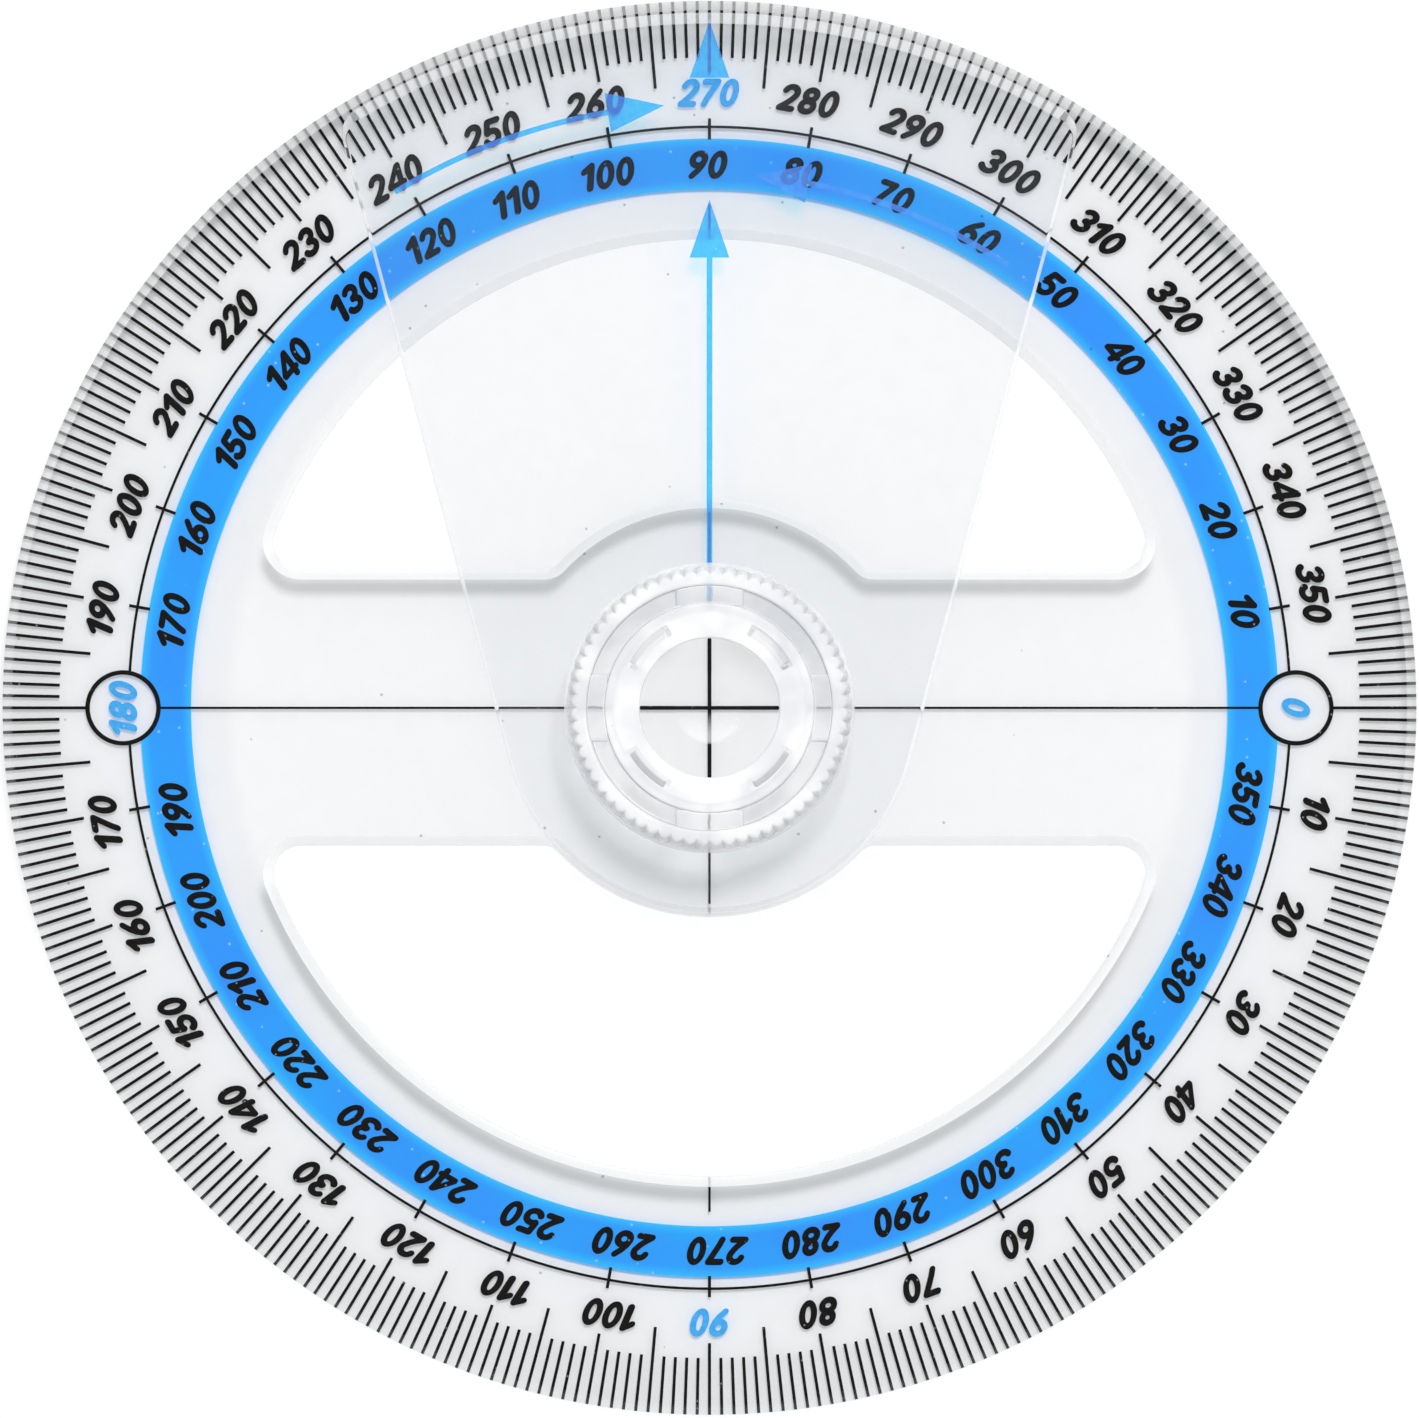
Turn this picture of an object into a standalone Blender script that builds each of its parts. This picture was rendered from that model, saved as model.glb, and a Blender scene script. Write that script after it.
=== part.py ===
"""Full-circle protractor with a swing arm that a centre grip knob turns.

Three clear plastic mouldings, in metres with +Z up:
dial_disc   round plate with two D-shaped openings and four snap posts round its centre
swing_arm   flat fan-shaped pointer that lies on the disc and turns about its centre
grip_knob   knurled hollow knob that snaps over the posts and drives the arm by four lugs

The origin is the centre of the disc's underside. The scale's zero direction is +X, and the
arm rests along +Y. The hinge axis of the arm and the knob is the Z axis.
"""

import math

import bmesh
import bpy

MM = 0.001
GAP = 0.3 * MM
MERGE = 0.001 * MM

# Dial disc
DISC_R = 50.0 * MM
DISC_T = 2.0 * MM
DISC_CHAMFER = 0.7 * MM
OPENING_R = 33.15 * MM
OPENING_FLAT_Y = 9.75 * MM
OPENING_CORNER_R = 2.0 * MM
HUB_R = 14.8 * MM
HUB_FILLET_R = 1.2 * MM
DIMPLE_R = 2.5 * MM
DIMPLE_DEPTH = 0.25 * MM
DIMPLE_RINGS = 4
DIMPLE_SIDES = 48
DISC_SIDES = 240

# Snap posts on the disc, and the slots that the mould leaves under their lips
POST_R_IN = 5.15 * MM
POST_R_OUT = 5.95 * MM
LIP_R = 6.5 * MM
LIP_T = 1.0 * MM
LIP_LEAD_IN = 0.45 * MM
POST_SPAN = 30.0
SLOT_R_IN = 6.05 * MM
SLOT_R_OUT = 6.65 * MM
POST_ROOT = 0.4 * MM
SWEEP_STEPS = 8

# Swing arm
ARM_R = 49.1 * MM
ARM_T = 1.0 * MM
ARM_HUB_R = 14.65 * MM
ARM_FLARE = 15.0
ARM_CORNER_R = 2.0 * MM
ARM_CHAMFER = 0.25 * MM
ARM_TIP_CHAMFER = 0.8 * MM
ARM_TIP_LAND = 0.3 * MM
ARM_BORE_R = POST_R_OUT + GAP
NOTCH_R = 7.4 * MM
ARC_STEP = 3.0
FILLET_STEP = 12.0

# Grip knob
KNOB_FLANGE_R = 10.24 * MM
KNOB_FLANGE_T = 0.5 * MM
KNOB_HEIGHT = 4.4 * MM
KNOB_SIDES = 128
GRIP_R = 10.05 * MM
GRIP_DEPTH = 0.28 * MM
GRIP_DRAFT = 0.3 * MM
GRIP_LOBES = 64
LOBE_STEPS = 4
GRIP_R_IN = 8.6 * MM
LEDGE_T = 1.0 * MM
LEDGE_R = POST_R_OUT + GAP
CAVITY_R = LIP_R + GAP
TUBE_R = 7.4 * MM
TROUGH_FLOOR = 1.2 * MM
FLOOR_R = 9.3 * MM
SIGHT_R = 4.91 * MM
CAP_T = 1.0 * MM
EDGE_BREAK = 0.2 * MM
SPOKE_HALF = 2.4 * MM
SPOKE_R_IN = 7.2 * MM
SPOKE_R_OUT = 8.9 * MM
SPOKE_DROP = 0.4 * MM
WINDOW_R_IN = 5.75 * MM
WINDOW_R_OUT = 6.6 * MM
WINDOW_SPAN = 36.0
LUG_R_IN = 6.35 * MM
LUG_R_OUT = NOTCH_R - GAP
LUG_SPAN = 40.0
LUG_SIDE_GAP = 3.0
LUG_DEPTH = 1.1 * MM
LUG_ROOT = 0.3 * MM
CUT_OVER = 0.5 * MM

# Levels, from the disc's underside up
ARM_Z = DISC_T + GAP
KNOB_Z = ARM_Z + ARM_T + GAP
LEDGE_TOP = KNOB_Z + LEDGE_T
LIP_Z = LEDGE_TOP + GAP
LIP_TOP = LIP_Z + LIP_T
CAP_Z = LIP_TOP + GAP
CAP_TOP = CAP_Z + CAP_T
KNOB_TOP = KNOB_Z + KNOB_HEIGHT

QUARTERS = (0.0, 90.0, 180.0, 270.0)
DIAGONALS = (45.0, 135.0, 225.0, 315.0)


def clear_scene():
    for obj in list(bpy.data.objects):
        bpy.data.objects.remove(obj, do_unlink=True)


def new_collection(name):
    collection = bpy.data.collections.new(name)
    bpy.context.scene.collection.children.link(collection)
    return collection


def polar(radius, degrees):
    angle = math.radians(degrees)
    return (radius * math.cos(angle), radius * math.sin(angle))


def arc(centre, radius, start, end, step=ARC_STEP):
    """Points on an arc from start to end, in degrees, with both ends."""
    count = max(2, math.ceil(abs(end - start) / step))
    points = []
    for i in range(count + 1):
        x, y = polar(radius, start + (end - start) * i / count)
        points.append((centre[0] + x, centre[1] + y))
    return points


def circle(radius, sides):
    return [polar(radius, 360.0 * i / sides) for i in range(sides)]


def angle_of(point, centre=(0.0, 0.0)):
    return math.degrees(math.atan2(point[1] - centre[1], point[0] - centre[0]))


def mirrored_x(points):
    """The same outline on the other side of the Y axis, running the same way round."""
    return [(-x, y) for x, y in reversed(points)]


# Outlines


def opening_outline(grow):
    """The upper D-shaped opening, anticlockwise, grown outwards by this much."""
    outer = OPENING_R + grow
    flat = OPENING_FLAT_Y - grow
    corner = OPENING_CORNER_R + grow
    hub = HUB_R - grow
    fillet = HUB_FILLET_R + grow
    corner_y = flat + corner
    corner_x = math.sqrt((outer - corner) ** 2 - corner_y**2)
    corner_centre = (corner_x, corner_y)
    fillet_y = flat + fillet
    fillet_x = math.sqrt((hub + fillet) ** 2 - fillet_y**2)
    fillet_centre = (fillet_x, fillet_y)
    hub_end = angle_of(fillet_centre)
    corner_end = angle_of(corner_centre)
    half = arc((0.0, 0.0), hub, 90.0, hub_end)
    half += arc(fillet_centre, fillet, hub_end + 180.0, 270.0, FILLET_STEP)
    half += arc(corner_centre, corner, -90.0, corner_end, FILLET_STEP)
    half += arc((0.0, 0.0), outer, corner_end, 90.0)[1:]
    return half + mirrored_x(half)[1:-1]


def arm_outline(shrink):
    """The arm's outer edge, anticlockwise, drawn in by this much from its full size."""
    hub = ARM_HUB_R - shrink
    tip = ARM_R - shrink
    corner = ARM_CORNER_R - shrink
    # The corner's centre lies inside the flared edge by the corner's radius.
    inset = hub - corner
    reach = math.sqrt((tip - corner) ** 2 - inset**2)
    corner_centre = (
        inset * math.cos(math.radians(ARM_FLARE)) + reach * math.sin(math.radians(ARM_FLARE)),
        -inset * math.sin(math.radians(ARM_FLARE)) + reach * math.cos(math.radians(ARM_FLARE)),
    )
    tip_start = angle_of(corner_centre)
    half = arc((0.0, 0.0), hub, -90.0, -ARM_FLARE)
    half += arc(corner_centre, corner, -ARM_FLARE, tip_start, FILLET_STEP)
    half += arc((0.0, 0.0), tip, tip_start, 90.0)[1:]
    return half + mirrored_x(half)[1:-1]


def arm_bore_outline(grow):
    """The arm's bore with its four notches for the knob's lugs, anticlockwise."""
    notch_half = LUG_SPAN / 2 + LUG_SIDE_GAP
    points = []
    for middle in QUARTERS:
        points += arc((0.0, 0.0), NOTCH_R + grow, middle - notch_half, middle + notch_half)
        points += arc((0.0, 0.0), ARM_BORE_R + grow, middle + notch_half, middle + 90.0 - notch_half)
    return points


def grip_outline():
    """The knurled wall's outline: rounded lobes with a sharp valley between each two."""
    points = []
    count = GRIP_LOBES * LOBE_STEPS
    for i in range(count):
        lobe = abs(math.sin(math.pi * i / LOBE_STEPS))
        points.append(polar(GRIP_R - GRIP_DEPTH * (1.0 - lobe), 360.0 * i / count))
    return points


# Solids


def object_from_bmesh(name, bm, collection):
    mesh = bpy.data.meshes.new(name)
    bm.to_mesh(mesh)
    bm.free()
    obj = bpy.data.objects.new(name, mesh)
    collection.objects.link(obj)
    return obj


def mesh_from_curve(obj, collection):
    """A mesh object in place of the curve object, with its caps welded."""
    graph = bpy.context.evaluated_depsgraph_get()
    mesh = bpy.data.meshes.new_from_object(obj.evaluated_get(graph))
    bm = bmesh.new()
    bm.from_mesh(mesh)
    bmesh.ops.remove_doubles(bm, verts=bm.verts, dist=MERGE)
    bmesh.ops.recalc_face_normals(bm, faces=bm.faces)
    bm.to_mesh(mesh)
    bm.free()
    name, place = obj.name, obj.matrix_world.copy()
    bpy.data.objects.remove(obj, do_unlink=True)
    made = bpy.data.objects.new(name, mesh)
    made.matrix_world = place
    collection.objects.link(made)
    return made


def flat_solid(name, outer, holes, thickness, z, chamfer, collection):
    """A flat solid between z and z + thickness, with a 45 degree chamfer round its top edges.

    The outlines are those of its top face, and the walls below stand out by the chamfer.
    """
    curve = bpy.data.curves.new(name, "CURVE")
    curve.dimensions = "2D"
    curve.fill_mode = "BOTH"
    curve.bevel_depth = chamfer
    curve.bevel_resolution = 0
    height = thickness if chamfer else thickness / 2
    curve.extrude = height - chamfer
    for points in [outer] + [list(reversed(hole)) for hole in holes]:
        spline = curve.splines.new("POLY")
        spline.points.add(len(points) - 1)
        for target, (x, y) in zip(spline.points, points):
            target.co = (x, y, 0.0, 1.0)
        spline.use_cyclic_u = True
    obj = bpy.data.objects.new(name, curve)
    obj.location.z = z + thickness - height
    collection.objects.link(obj)
    bpy.context.view_layer.update()
    return mesh_from_curve(obj, collection)


def turned_solid(name, profile, sides, collection):
    """A closed section in (radius, z), turned about the Z axis. Its outer side runs downwards."""
    bm = bmesh.new()
    verts = [bm.verts.new((radius, 0.0, z)) for radius, z in profile]
    closed = profile[0][0] > MERGE
    for i in range(len(verts) - (0 if closed else 1)):
        bm.edges.new((verts[i], verts[(i + 1) % len(verts)]))
    obj = object_from_bmesh(name, bm, collection)
    screw = obj.modifiers.new("Turn", "SCREW")
    screw.steps = sides
    screw.render_steps = sides
    screw.use_merge_vertices = True
    screw.merge_threshold = MERGE
    return obj


def arc_solid(name, section, middle, span, collection):
    """A section in (radius, z), swept about the Z axis through span degrees round middle."""
    start = math.radians(middle - span / 2)
    bm = bmesh.new()
    verts = [bm.verts.new((r * math.cos(start), r * math.sin(start), z)) for r, z in section]
    face = bm.faces.new(verts)
    bmesh.ops.spin(
        bm,
        geom=[face] + list(face.edges) + list(face.verts),
        cent=(0.0, 0.0, 0.0),
        axis=(0.0, 0.0, 1.0),
        angle=math.radians(span),
        steps=SWEEP_STEPS,
    )
    bmesh.ops.recalc_face_normals(bm, faces=bm.faces)
    return object_from_bmesh(name, bm, collection)


def ring_section(r_in, r_out, z_low, z_high):
    return [(r_in, z_low), (r_out, z_low), (r_out, z_high), (r_in, z_high)]


def box(name, low, high, degrees, collection):
    """A box between two corners, turned about the Z axis."""
    bm = bmesh.new()
    bmesh.ops.create_cube(bm, size=1.0)
    for vert in bm.verts:
        for i in range(3):
            vert.co[i] = low[i] + (vert.co[i] + 0.5) * (high[i] - low[i])
    obj = object_from_bmesh(name, bm, collection)
    obj.rotation_euler.z = math.radians(degrees)
    return obj


def combine(obj, other, operation):
    """A Boolean modifier on obj. The other object is a helper from then on."""
    other.hide_render = True
    other.display_type = "WIRE"
    modifier = obj.modifiers.new(other.name, "BOOLEAN")
    modifier.operation = operation
    modifier.solver = "EXACT"
    modifier.object = other


def finish(obj, material):
    obj.data.materials.append(material)
    obj.data.shade_smooth()
    obj.data.set_sharp_from_angle(angle=math.radians(30.0))
    return obj


def clear_plastic(name, colour, roughness):
    material = bpy.data.materials.new(name)
    material.use_nodes = True
    shader = material.node_tree.nodes["Principled BSDF"]
    shader.inputs["Base Color"].default_value = (*colour, 1.0)
    shader.inputs["Roughness"].default_value = roughness
    shader.inputs["Metallic"].default_value = 0.0
    shader.inputs["IOR"].default_value = 1.49
    shader.inputs["Transmission Weight"].default_value = 0.9
    return material


# Pieces


def make_dial_disc(parts, cutters):
    upper = opening_outline(DISC_CHAMFER)
    lower = [(-x, -y) for x, y in upper]
    rim = circle(DISC_R - DISC_CHAMFER, DISC_SIDES)
    plate = flat_solid("dial_disc", rim, [upper, lower], DISC_T, 0.0, DISC_CHAMFER, parts)
    # The chamfered outline is symmetric about its middle, so the half below the disc goes.
    reach = 1.1 * DISC_R
    below = box("disc_below", (-reach, -reach, -2 * DISC_T), (reach, reach, 0.0), 0.0, cutters)
    combine(plate, below, "DIFFERENCE")

    ball_r = (DIMPLE_R**2 + DIMPLE_DEPTH**2) / (2 * DIMPLE_DEPTH)
    dish = [(0.0, DISC_T + CUT_OVER), (DIMPLE_R, DISC_T + CUT_OVER)]
    for i in range(DIMPLE_RINGS, -1, -1):
        radius = DIMPLE_R * i / DIMPLE_RINGS
        dish.append((radius, DISC_T - DIMPLE_DEPTH + ball_r - math.sqrt(ball_r**2 - radius**2)))
    combine(plate, turned_solid("gate_dimple", dish, DIMPLE_SIDES, cutters), "DIFFERENCE")

    post = [
        (POST_R_IN, DISC_T - POST_ROOT),
        (POST_R_OUT, DISC_T - POST_ROOT),
        (POST_R_OUT, LIP_Z),
        (LIP_R, LIP_Z),
        (LIP_R, LIP_Z + LIP_T / 2),
        (LIP_R - LIP_LEAD_IN, LIP_TOP),
        (POST_R_IN, LIP_TOP),
    ]
    slot = ring_section(SLOT_R_IN, SLOT_R_OUT, -CUT_OVER, DISC_T + CUT_OVER)
    for i, middle in enumerate(DIAGONALS):
        combine(plate, arc_solid(f"snap_post_{i}", post, middle, POST_SPAN, cutters), "UNION")
        combine(plate, arc_solid(f"post_slot_{i}", slot, middle, POST_SPAN, cutters), "DIFFERENCE")
    return finish(plate, clear_plastic("dial_clear", (0.90, 0.92, 0.93), 0.06))


def make_swing_arm(parts, cutters):
    outer = arm_outline(ARM_CHAMFER)
    bore = arm_bore_outline(ARM_CHAMFER)
    arm = flat_solid("swing_arm", outer, [bore], ARM_T, ARM_Z, ARM_CHAMFER, parts)
    reach = 1.1 * ARM_R
    below = box("arm_below", (-reach, -reach, ARM_Z - 2 * ARM_T), (reach, reach, ARM_Z), 0.0, cutters)
    combine(arm, below, "DIFFERENCE")

    # The curved outer edge is worn down to a thin land, so that the pointer meets the scale.
    top = ARM_Z + ARM_T + CUT_OVER
    slope = ARM_TIP_CHAMFER / (ARM_T - ARM_TIP_LAND)
    land_z = ARM_Z + ARM_TIP_LAND
    bevel = [
        (ARM_R + CUT_OVER, top),
        (ARM_R + CUT_OVER, land_z - CUT_OVER / slope),
        (ARM_R - (top - land_z) * slope, top),
    ]
    combine(arm, turned_solid("arm_tip_bevel", bevel, DISC_SIDES, cutters), "DIFFERENCE")
    return finish(arm, clear_plastic("arm_clear", (0.92, 0.94, 0.95), 0.05))


def make_grip_knob(parts, cutters):
    core = [
        (FLOOR_R, KNOB_Z + TROUGH_FLOOR),
        (FLOOR_R, KNOB_Z + KNOB_FLANGE_T),
        (KNOB_FLANGE_R, KNOB_Z + KNOB_FLANGE_T),
        (KNOB_FLANGE_R, KNOB_Z),
        (LEDGE_R, KNOB_Z),
        (LEDGE_R, LEDGE_TOP),
        (CAVITY_R, LEDGE_TOP),
        (CAVITY_R, CAP_Z),
        (SIGHT_R, CAP_Z),
        (SIGHT_R, CAP_TOP - EDGE_BREAK),
        (SIGHT_R + EDGE_BREAK, CAP_TOP),
        (TUBE_R - EDGE_BREAK, CAP_TOP),
        (TUBE_R, CAP_TOP - EDGE_BREAK),
        (TUBE_R, KNOB_Z + TROUGH_FLOOR),
    ]
    knob = turned_solid("grip_knob", core, KNOB_SIDES, parts)

    grip_z = KNOB_Z + KNOB_FLANGE_T / 2
    hole = circle(GRIP_R_IN, KNOB_SIDES)
    grip = flat_solid("knurled_wall", grip_outline(), [hole], KNOB_TOP - grip_z, grip_z, 0.0, cutters)
    for vert in grip.data.vertices:
        if vert.co.z > 0.0 and vert.co.xy.length > (GRIP_R_IN + GRIP_R) / 2:
            vert.co.xy *= 1.0 - GRIP_DRAFT / GRIP_R
    combine(knob, grip, "UNION")

    for i, middle in enumerate(QUARTERS):
        low = (SPOKE_R_IN, -SPOKE_HALF, KNOB_Z + TROUGH_FLOOR / 2)
        high = (SPOKE_R_OUT, SPOKE_HALF, CAP_TOP - SPOKE_DROP)
        combine(knob, box(f"spoke_{i}", low, high, middle, cutters), "UNION")

    lug = ring_section(LUG_R_IN, LUG_R_OUT, KNOB_Z - LUG_DEPTH, KNOB_Z + LUG_ROOT)
    for i, middle in enumerate(QUARTERS):
        combine(knob, arc_solid(f"drive_lug_{i}", lug, middle, LUG_SPAN, cutters), "UNION")

    window = ring_section(WINDOW_R_IN, WINDOW_R_OUT, CAP_Z - CUT_OVER, CAP_TOP + CUT_OVER)
    for i, middle in enumerate(DIAGONALS):
        cutter = arc_solid(f"cap_window_{i}", window, middle, WINDOW_SPAN, cutters)
        combine(knob, cutter, "DIFFERENCE")
    return finish(knob, clear_plastic("knob_clear", (0.91, 0.92, 0.94), 0.08))


def main():
    clear_scene()
    parts = new_collection("protractor")
    cutters = new_collection("protractor_cutters")
    make_dial_disc(parts, cutters)
    arm = make_swing_arm(parts, cutters)
    knob = make_grip_knob(parts, cutters)

    # The arm and the knob turn together about the Z axis.
    pivot = bpy.data.objects.new("arm_pivot", None)
    parts.objects.link(pivot)
    for piece in (arm, knob):
        piece.parent = pivot


main()
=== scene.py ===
"""Looks for a full-circle protractor: three clear mouldings, their printed scales and a studio.

Sizes are in millimetres, and each mesh is scaled to metres once, as its object is made. The
frame's axes are kept: the disc's underside is at z = 0 about the Z axis, the scale's zero
direction is +X, and the arm rests along +Y.
"""

import math

import bmesh
import bpy
import numpy as np
from mathutils import Matrix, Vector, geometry


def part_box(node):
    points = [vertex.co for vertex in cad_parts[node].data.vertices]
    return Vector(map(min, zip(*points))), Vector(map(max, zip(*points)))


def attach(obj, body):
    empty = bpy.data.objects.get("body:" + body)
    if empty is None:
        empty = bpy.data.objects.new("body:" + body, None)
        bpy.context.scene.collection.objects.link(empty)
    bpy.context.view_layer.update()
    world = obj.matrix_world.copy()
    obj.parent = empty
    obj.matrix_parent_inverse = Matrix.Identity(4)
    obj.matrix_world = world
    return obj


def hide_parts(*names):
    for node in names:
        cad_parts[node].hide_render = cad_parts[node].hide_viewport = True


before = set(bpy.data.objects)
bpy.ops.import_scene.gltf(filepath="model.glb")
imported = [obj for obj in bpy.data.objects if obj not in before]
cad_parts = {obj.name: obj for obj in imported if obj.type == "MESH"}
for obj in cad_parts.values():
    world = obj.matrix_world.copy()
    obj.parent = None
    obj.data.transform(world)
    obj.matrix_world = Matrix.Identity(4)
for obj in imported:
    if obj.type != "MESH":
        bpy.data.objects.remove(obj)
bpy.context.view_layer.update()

MM = 0.001

# Places that the frame gives
DISC_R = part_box("dial_disc")[1].x / MM
POST_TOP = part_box("dial_disc")[1].z / MM
ARM_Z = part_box("swing_arm")[0].z / MM
ARM_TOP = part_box("swing_arm")[1].z / MM
ARM_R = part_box("swing_arm")[1].y / MM
KNOB_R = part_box("grip_knob")[1].x / MM
KNOB_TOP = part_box("grip_knob")[1].z / MM
LUG_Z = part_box("grip_knob")[0].z / MM

CAP_MERGE = 1e-5

# Edges of every moulding
EDGE_R = 0.08
SUPPORT = 0.06
ROUND_STEPS = 4
ROUND_REACH = 0.45
SHARP_ANGLE = 30.0

# Dial plate
DISC_T = 2.0
DISC_CHAMFER = 0.7
RIM_SIDES = 360
OPENING_R = 33.15
OPENING_FLAT_Y = 9.75
OPENING_CORNER_R = 2.0
HUB_R = 14.8
HUB_FILLET_R = 1.2
HUB_STEPS = 26
HUB_FILLET_STEPS = 10
OPENING_CORNER_STEPS = 14
OPENING_STEPS = 40
DIMPLE_R = 2.5
DIMPLE_DEPTH = 0.25
DIMPLE_SIDES = 64
DIMPLE_RINGS = 10
POST_R_IN = 5.15
POST_R_OUT = 5.95
POST_SPAN = 30.0
POST_CORNER = 0.12
POST_EDGE = 0.1
PATCH_CORNER_STEPS = 3
PATCH_SIDE_STEPS = 10
LIP_R = 6.5
LIP_T = 1.0
LIP_LEAD_IN = 0.45
SLOT_R_IN = 6.05
SLOT_R_OUT = 6.65

# Swing arm
ARM_HUB_R = 14.65
ARM_FLARE = 15.0
ARM_CORNER_R = 2.0
ARM_CHAMFER = 0.25
ARM_TIP_CHAMFER = 0.8
ARM_TIP_LAND = 0.3
ARM_HUB_STEPS = 36
ARM_CORNER_STEPS = 14
ARM_TIP_STEPS = 20
ARM_BORE_R = 6.25
NOTCH_R = 7.4
NOTCH_HALF_SPAN = 23.0
NOTCH_STEPS = 20
BORE_STEPS = 16
BORE_CHAMFER = 0.15

# Grip knob
KNOB_Z = ARM_TOP + 0.3
FLANGE_T = 0.5
GRIP_R = 10.05
GRIP_DRAFT = 0.3
GRIP_DEPTH = 0.28
GRIP_LOBES = 64
LOBE_STEPS = 8
GRIP_R_IN = 8.6
KNURL_FADE = (9.0, 9.6)
KNURL_RISE = 0.12
LEDGE_R = 6.25
LEDGE_TOP = KNOB_Z + 1.0
CAVITY_R = 6.8
CAP_Z = 6.2
CAP_TOP = 7.2
TUBE_R = 7.4
TROUGH_Z = KNOB_Z + 1.2
SIGHT_R = 4.91
SPOKE_HALF = 2.4
SPOKE_R_IN = 7.2
SPOKE_R_OUT = 8.75
SPOKE_TOP = CAP_TOP - 0.4
SPOKE_ROOT = 0.3
SPOKE_FOOT_EDGE = 0.01
SPOKE_TOP_EDGE = 0.35
WINDOW_R_IN = 5.75
WINDOW_R_OUT = 6.6
WINDOW_SPAN = 36.0
LUG_R_IN = 6.35
LUG_R_OUT = 7.1
LUG_SPAN = 40.0
LUG_ROOT = 0.3
CUT_OVER = 0.5

# Printed scales: radii and line widths
TICK_R_OUT = 49.85
TICK_R_IN = {1: 46.0, 5: 43.97, 10: 44.95}
TICK_W = 0.22
RING_R = 41.1
RING_W = 0.19
RING_TICK_R = (40.2, 41.7)
ZERO_R = 41.5
ZERO_CIRCLE_R = 2.67
ZERO_CIRCLE_W = 0.32
HAIR_W = 0.17
CROSS_W = 0.28
CROSS_R = 4.9
CROSS_LINE_R = 13.87
EDGE_MARK_R = (33.4, 35.66)
BAND_R = (36.68, 40.27)
OUTER_FIGURES_R = 43.5
INNER_FIGURES_R = 38.42
FIGURE_H = 2.03
FIGURE_GAP = 0.06
BAND_STEPS = 170
BITE_STEPS = 16
RING_LINE_STEPS = 160
ZERO_CIRCLE_STEPS = 72

# Levels of the print: black lies over blue, seen through the plate
BLACK_Z = (-0.01, 0.04)
CROSSING_Z = (-0.008, 0.035)
BLUE_Z = (-0.02, 0.02)
ARM_INK_Z = (ARM_Z - 0.02, ARM_Z + 0.02)

# Arrows printed under the arm
ARROW_W = 0.4
ARROW_HEAD_W = 2.8
SWEEP_STEPS = 24
SHAFT_R = (7.46, 31.8)
SHAFT_TIP_R = 35.9
TIP_HEAD_R = (44.5, 48.5)
OUTER_SWEEP = (42.66, 121.4, 99.7, 94.3)
INNER_SWEEP = (37.7, 56.0, 79.3, 85.0)

# Figures, in units of their height
PEN = 0.112
BOLD_PEN = 0.125
SLIM_PEN = 0.1
PEN_END_STEPS = 8
RING_STEPS = 40
FIGURE_SLANT = math.tan(math.radians(13.0))
LOW_LINE = PEN
TOP_LINE = 1.0 - PEN
MID_X = 0.32
BOWL_X = 0.21
FIGURE_WIDTH = {figure: 2 * MID_X for figure in "023456789"}
FIGURE_WIDTH["1"] = 0.45
NUMBER_SHIFT = {2: -0.06, 3: -0.25}

QUARTERS = (0.0, 90.0, 180.0, 270.0)
DIAGONALS = (45.0, 135.0, 225.0, 315.0)


# Lines and outlines


def polar(radius, degrees):
    angle = math.radians(degrees)
    return (radius * math.cos(angle), radius * math.sin(angle))


def arc(centre, radius, start, end, count):
    """Points on an arc from start to end, in degrees. The radius may be one for x and one for y."""
    across, up = radius if isinstance(radius, tuple) else (radius, radius)
    points = []
    for i in range(count + 1):
        x, y = polar(1.0, start + (end - start) * i / count)
        points.append((centre[0] + across * x, centre[1] + up * y))
    return points


def circle(radius, sides):
    return arc((0.0, 0.0), radius, 0.0, 360.0, sides)[:-1]


def angle_of(point):
    return math.degrees(math.atan2(point[1], point[0]))


def mirrored_x(points):
    """The same outline on the other side of the Y axis, running the same way round."""
    return [(-x, y) for x, y in reversed(points)]


def rounded(points, radius, closed=False):
    """The same line with its corners drawn round. The radius may be one for each corner."""
    made = []
    count = len(points)
    for i, (x, y) in enumerate(points):
        if not closed and i in (0, count - 1):
            made.append((x, y))
            continue
        ax, ay = points[i - 1]
        bx, by = points[(i + 1) % count]
        before = math.hypot(ax - x, ay - y)
        after = math.hypot(bx - x, by - y)
        wanted = radius[i] if isinstance(radius, list) else radius
        reach = min(wanted, ROUND_REACH * before, ROUND_REACH * after)
        for k in range(ROUND_STEPS + 1):
            back = (1.0 - k / ROUND_STEPS) ** 2 * reach / before
            on = (k / ROUND_STEPS) ** 2 * reach / after
            made.append((x + (ax - x) * back + (bx - x) * on, y + (ay - y) * back + (by - y) * on))
    return made


def opening_outline(grow):
    """The upper D-shaped opening, anticlockwise, grown outwards by this much."""
    outer = OPENING_R + grow
    corner = OPENING_CORNER_R + grow
    hub = HUB_R - grow
    fillet = HUB_FILLET_R + grow
    corner_y = OPENING_FLAT_Y - grow + corner
    corner_centre = (math.sqrt((outer - corner) ** 2 - corner_y**2), corner_y)
    fillet_y = OPENING_FLAT_Y - grow + fillet
    fillet_centre = (math.sqrt((hub + fillet) ** 2 - fillet_y**2), fillet_y)
    hub_end = angle_of(fillet_centre)
    corner_end = angle_of(corner_centre)
    half = arc((0.0, 0.0), hub, 90.0, hub_end, HUB_STEPS)
    half += arc(fillet_centre, fillet, hub_end + 180.0, 270.0, HUB_FILLET_STEPS)[1:]
    half += arc(corner_centre, corner, -90.0, corner_end, OPENING_CORNER_STEPS)
    half += arc((0.0, 0.0), outer, corner_end, 90.0, OPENING_STEPS)[1:]
    return half + mirrored_x(half)[1:-1]


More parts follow.
